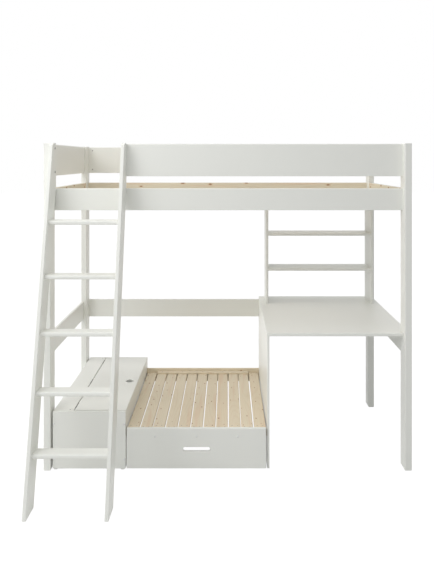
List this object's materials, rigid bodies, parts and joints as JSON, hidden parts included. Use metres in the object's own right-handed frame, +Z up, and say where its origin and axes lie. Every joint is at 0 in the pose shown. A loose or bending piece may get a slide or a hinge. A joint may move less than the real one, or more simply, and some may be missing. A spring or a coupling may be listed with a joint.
{
  "type": "high sleeper bed",
  "caption": "Raised single bed on tall posts with a leaning ladder, a storage chest with a hinged lid, a slatted seat that pulls out on castors, and a desk with shelves below.",
  "frame": {"origin": "on the floor, in the middle of the whole footprint: halfway along the bed, and halfway between the front of the ladder's feet and the back faces of the back posts", "axes": "+X runs along the bed from the ladder end to the desk end, +Y from the ladder's front to the back of the bed, +Z up"},
  "size_m": [2.086, 1.531, 1.855],
  "materials": {
    "white_lacquer": "satin white lacquer",
    "pine": "bare sanded pine",
    "steel": "zinc plated",
    "dark_hinge": "bronzed",
    "grey_plastic": "moulded",
    "white_plastic": "moulded"
  },
  "bodies": {
    "root": {"barrel_nuts": "steel", "bed_slats": "pine", "chest_back": "white_lacquer", "chest_bottom": "white_lacquer", "chest_cleats": "pine", "chest_front": "white_lacquer", "chest_glides": "white_plastic", "chest_side_left": "white_lacquer", "chest_side_right": "white_lacquer", "chest_top_strip": "white_lacquer", "desk_side_panel": "white_lacquer", "desk_top": "white_lacquer", "end_rail_left": "white_lacquer", "end_rail_right": "white_lacquer", "guard_back": "white_lacquer", "guard_end_left": "white_lacquer", "guard_end_right": "white_lacquer", "guard_front": "white_lacquer", "hinge_leaves_strip": "dark_hinge", "hinge_pins": "steel", "ladder_bolts": "steel", "ladder_stringer_left": "white_lacquer", "ladder_stringer_right": "white_lacquer", "ladder_treads": "white_lacquer", "mid_rail_back": "white_lacquer", "mid_rail_left": "white_lacquer", "mid_rail_right": "white_lacquer", "post_back_left": "white_lacquer", "post_back_right": "white_lacquer", "post_front_left": "white_lacquer", "post_front_right": "white_lacquer", "seat_back_board": "pine", "seat_front_bar": "pine", "seat_rear_ledger": "pine", "seat_slats_fixed": "pine", "shelf_lower": "white_lacquer", "shelf_upper": "white_lacquer", "shelf_upright_left": "white_lacquer", "shelf_upright_right": "white_lacquer", "side_rail_back": "white_lacquer", "side_rail_front": "white_lacquer", "slat_ledgers": "pine", "slat_rail_back": "pine", "slat_rail_front": "pine", "slat_rail_left": "pine", "slat_rail_right": "pine"},
    "lid": {"chest_lid": "white_lacquer", "hinge_leaves_lid": "dark_hinge"},
    "pullout": {"pullout_front": "white_lacquer", "pullout_batten": "pine", "pullout_slats": "pine", "pullout_crossbar": "pine", "castor_brackets": "steel", "castor_axles": "steel"},
    "wheel_left": {"castor_wheel_left": "grey_plastic"},
    "wheel_right": {"castor_wheel_right": "grey_plastic"}
  },
  "joints": [
    {"name": "lid_hinge", "type": "hinge", "parent": "root", "child": "lid", "pos_m": [-0.8775, 0.259, 0.329], "axis": [0, -1, 0], "range_deg": [0, 100]},
    {"name": "pullout_slide", "type": "slide", "parent": "root", "child": "pullout", "axis": [0, -1, 0], "range_m": [0, 0.78]},
    {"name": "wheel_left_roll", "type": "hinge", "parent": "pullout", "child": "wheel_left", "pos_m": [-0.5347, -0.1965, 0.025], "axis": [1, 0, 0], "continuous": true},
    {"name": "wheel_right_roll", "type": "hinge", "parent": "pullout", "child": "wheel_right", "pos_m": [0.1802, -0.1965, 0.025], "axis": [1, 0, 0], "continuous": true}
  ],
  "couplings": [
    {"joint": "wheel_left_roll", "follows": "pullout_slide", "rad_per_m": 40},
    {"joint": "wheel_right_roll", "follows": "pullout_slide", "rad_per_m": 40}
  ]
}
